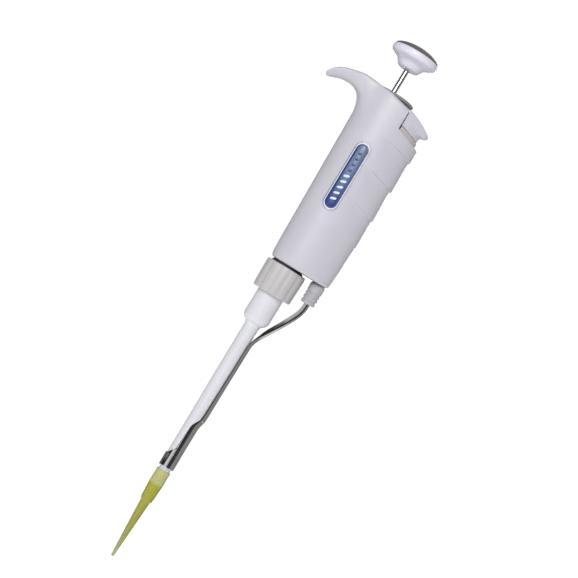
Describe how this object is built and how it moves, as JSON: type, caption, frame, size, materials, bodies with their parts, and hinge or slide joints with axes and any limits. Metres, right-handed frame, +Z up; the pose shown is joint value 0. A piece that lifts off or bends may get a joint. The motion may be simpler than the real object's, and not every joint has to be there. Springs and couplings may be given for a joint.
{
  "type": "adjustable micropipette",
  "caption": "Hand-held adjustable micropipette with finger hook, thumb knob, volume dial, tip ejector with steel arm, coupling nut, slender barrel and disposable tip.",
  "frame": {"origin": "the seat under the finger hook, where a stand's peg or the side of the index finger carries the pipette; it hangs from there and does not stand", "axes": "+Z up along the plunger axis towards the knob; +X towards the tip ejector, so the finger hook reaches out along -X; -Y out of the face with the badge, +Y out of the face with the volume window"},
  "size_m": [0.0594, 0.0284, 0.2894],
  "materials": {
    "handle_plastic": "fine satin moulding, cool lavender white",
    "knob_plastic": "smooth semi-gloss white",
    "barrel_plastic": "smooth bright white",
    "grey_cap": "satin mid grey",
    "dial_grey": "satin warm grey, knurled rim",
    "nut_grey": "satin light warm grey",
    "boot_grey": "soft light cool grey, ribbed",
    "slider_beige": "satin beige",
    "inner_plastic": "plain dark moulding",
    "polished_steel": "polished stainless steel",
    "brushed_steel": "ground stainless and spring steel",
    "badge_metal": "silver foil rim",
    "badge_print": "clear-coated print, blue to silver, no lettering",
    "window_clear": "clear acrylic lens",
    "drum_white": "white drum with printed numbers",
    "brass": "machined",
    "seal_rubber": "black elastomer",
    "seal_white": "low-friction seal",
    "tip_yellow": "translucent yellow-green polypropylene"
  },
  "bodies": {
    "handle": {"handle_shell": "handle_plastic", "handle_base": "inner_plastic", "badge_rim": "badge_metal", "badge_plate": "badge_print", "window_lens": "window_clear", "volume_nut": "brass", "counter_frame": "inner_plastic", "stop_housing": "inner_plastic", "blowout_spring": "brushed_steel", "barrel": "barrel_plastic", "nozzle": "barrel_plastic", "piston_spring": "brushed_steel", "seal_retainer": "brushed_steel", "piston_seal": "seal_white", "barrel_o_ring": "seal_rubber", "ejector_guide": "inner_plastic", "ejector_spring": "brushed_steel"},
    "dial": {"volume_dial": "dial_grey", "dial_clip": "brushed_steel", "drive_sleeve": "brass", "units_drum": "drum_white"},
    "tens": {"tens_drum": "drum_white"},
    "hundreds": {"hundreds_drum": "drum_white"},
    "volume_screw": {"volume_screw": "brass"},
    "plunger": {"knob": "knob_plastic", "knob_cap": "grey_cap", "plunger_rod": "polished_steel", "plunger_collar": "brass", "piston_head": "seal_white", "piston": "polished_steel"},
    "stop_washer": {"stop_washer": "brushed_steel"},
    "coupling_nut": {"coupling_nut": "nut_grey"},
    "ejector": {"ejector_button": "knob_plastic", "ejector_slider": "slider_beige", "ejector_rod": "brushed_steel", "ejector_clip": "brushed_steel", "ejector_boot": "boot_grey", "ejector_arm": "polished_steel"},
    "tip": {"tip": "tip_yellow"}
  },
  "joints": [
    {"name": "volume_turn", "type": "hinge", "parent": "handle", "child": "dial", "pos_m": [0.0227, 0, 0.0045], "axis": [0, 0, 1], "range_deg": [0, 5401]},
    {"name": "tens_turn", "type": "hinge", "parent": "handle", "child": "tens", "pos_m": [0.0227, 0, -0.026], "axis": [0, 0, 1], "range_deg": [0, 540.5]},
    {"name": "hundreds_turn", "type": "hinge", "parent": "handle", "child": "hundreds", "pos_m": [0.0227, 0, -0.021], "axis": [0, 0, 1], "range_deg": [0, 72.5]},
    {"name": "volume_travel", "type": "slide", "parent": "dial", "child": "volume_screw", "axis": [0, 0, 1], "range_m": [0, 0.0075]},
    {"name": "plunger_press", "type": "slide", "parent": "volume_screw", "child": "plunger", "axis": [0, 0, -1], "range_m": [0, 0.006], "stiffness_N_per_m": 450, "springref_m": -0.005, "deforming": ["piston_spring"]},
    {"name": "stop_give", "type": "slide", "parent": "handle", "child": "stop_washer", "axis": [0, 0, -1], "range_m": [0, 0.00351], "deforming": ["blowout_spring"]},
    {"name": "nut_turn", "type": "hinge", "parent": "handle", "child": "coupling_nut", "pos_m": [0.0227, 0, -0.1005], "axis": [0, 0, 1], "range_deg": [0, 540]},
    {"name": "eject_press", "type": "slide", "parent": "handle", "child": "ejector", "axis": [0, 0, -1], "range_m": [0, 0.006], "stiffness_N_per_m": 500, "springref_m": -0.004, "deforming": ["ejector_spring"]},
    {"name": "tip_release", "type": "slide", "parent": "handle", "child": "tip", "axis": [0, 0, -1], "range_m": [0, 0.00901]}
  ],
  "couplings": [
    {"joint": "volume_turn", "follows": "volume_travel", "rad_per_m": 12566},
    {"joint": "tens_turn", "follows": "volume_travel", "rad_per_m": 1256.6},
    {"joint": "hundreds_turn", "follows": "volume_travel", "rad_per_m": 167.55},
    {"joint": "stop_give", "follows": "plunger_press", "ratio": 0.58333},
    {"joint": "tip_release", "follows": "eject_press", "ratio": 1.5}
  ]
}
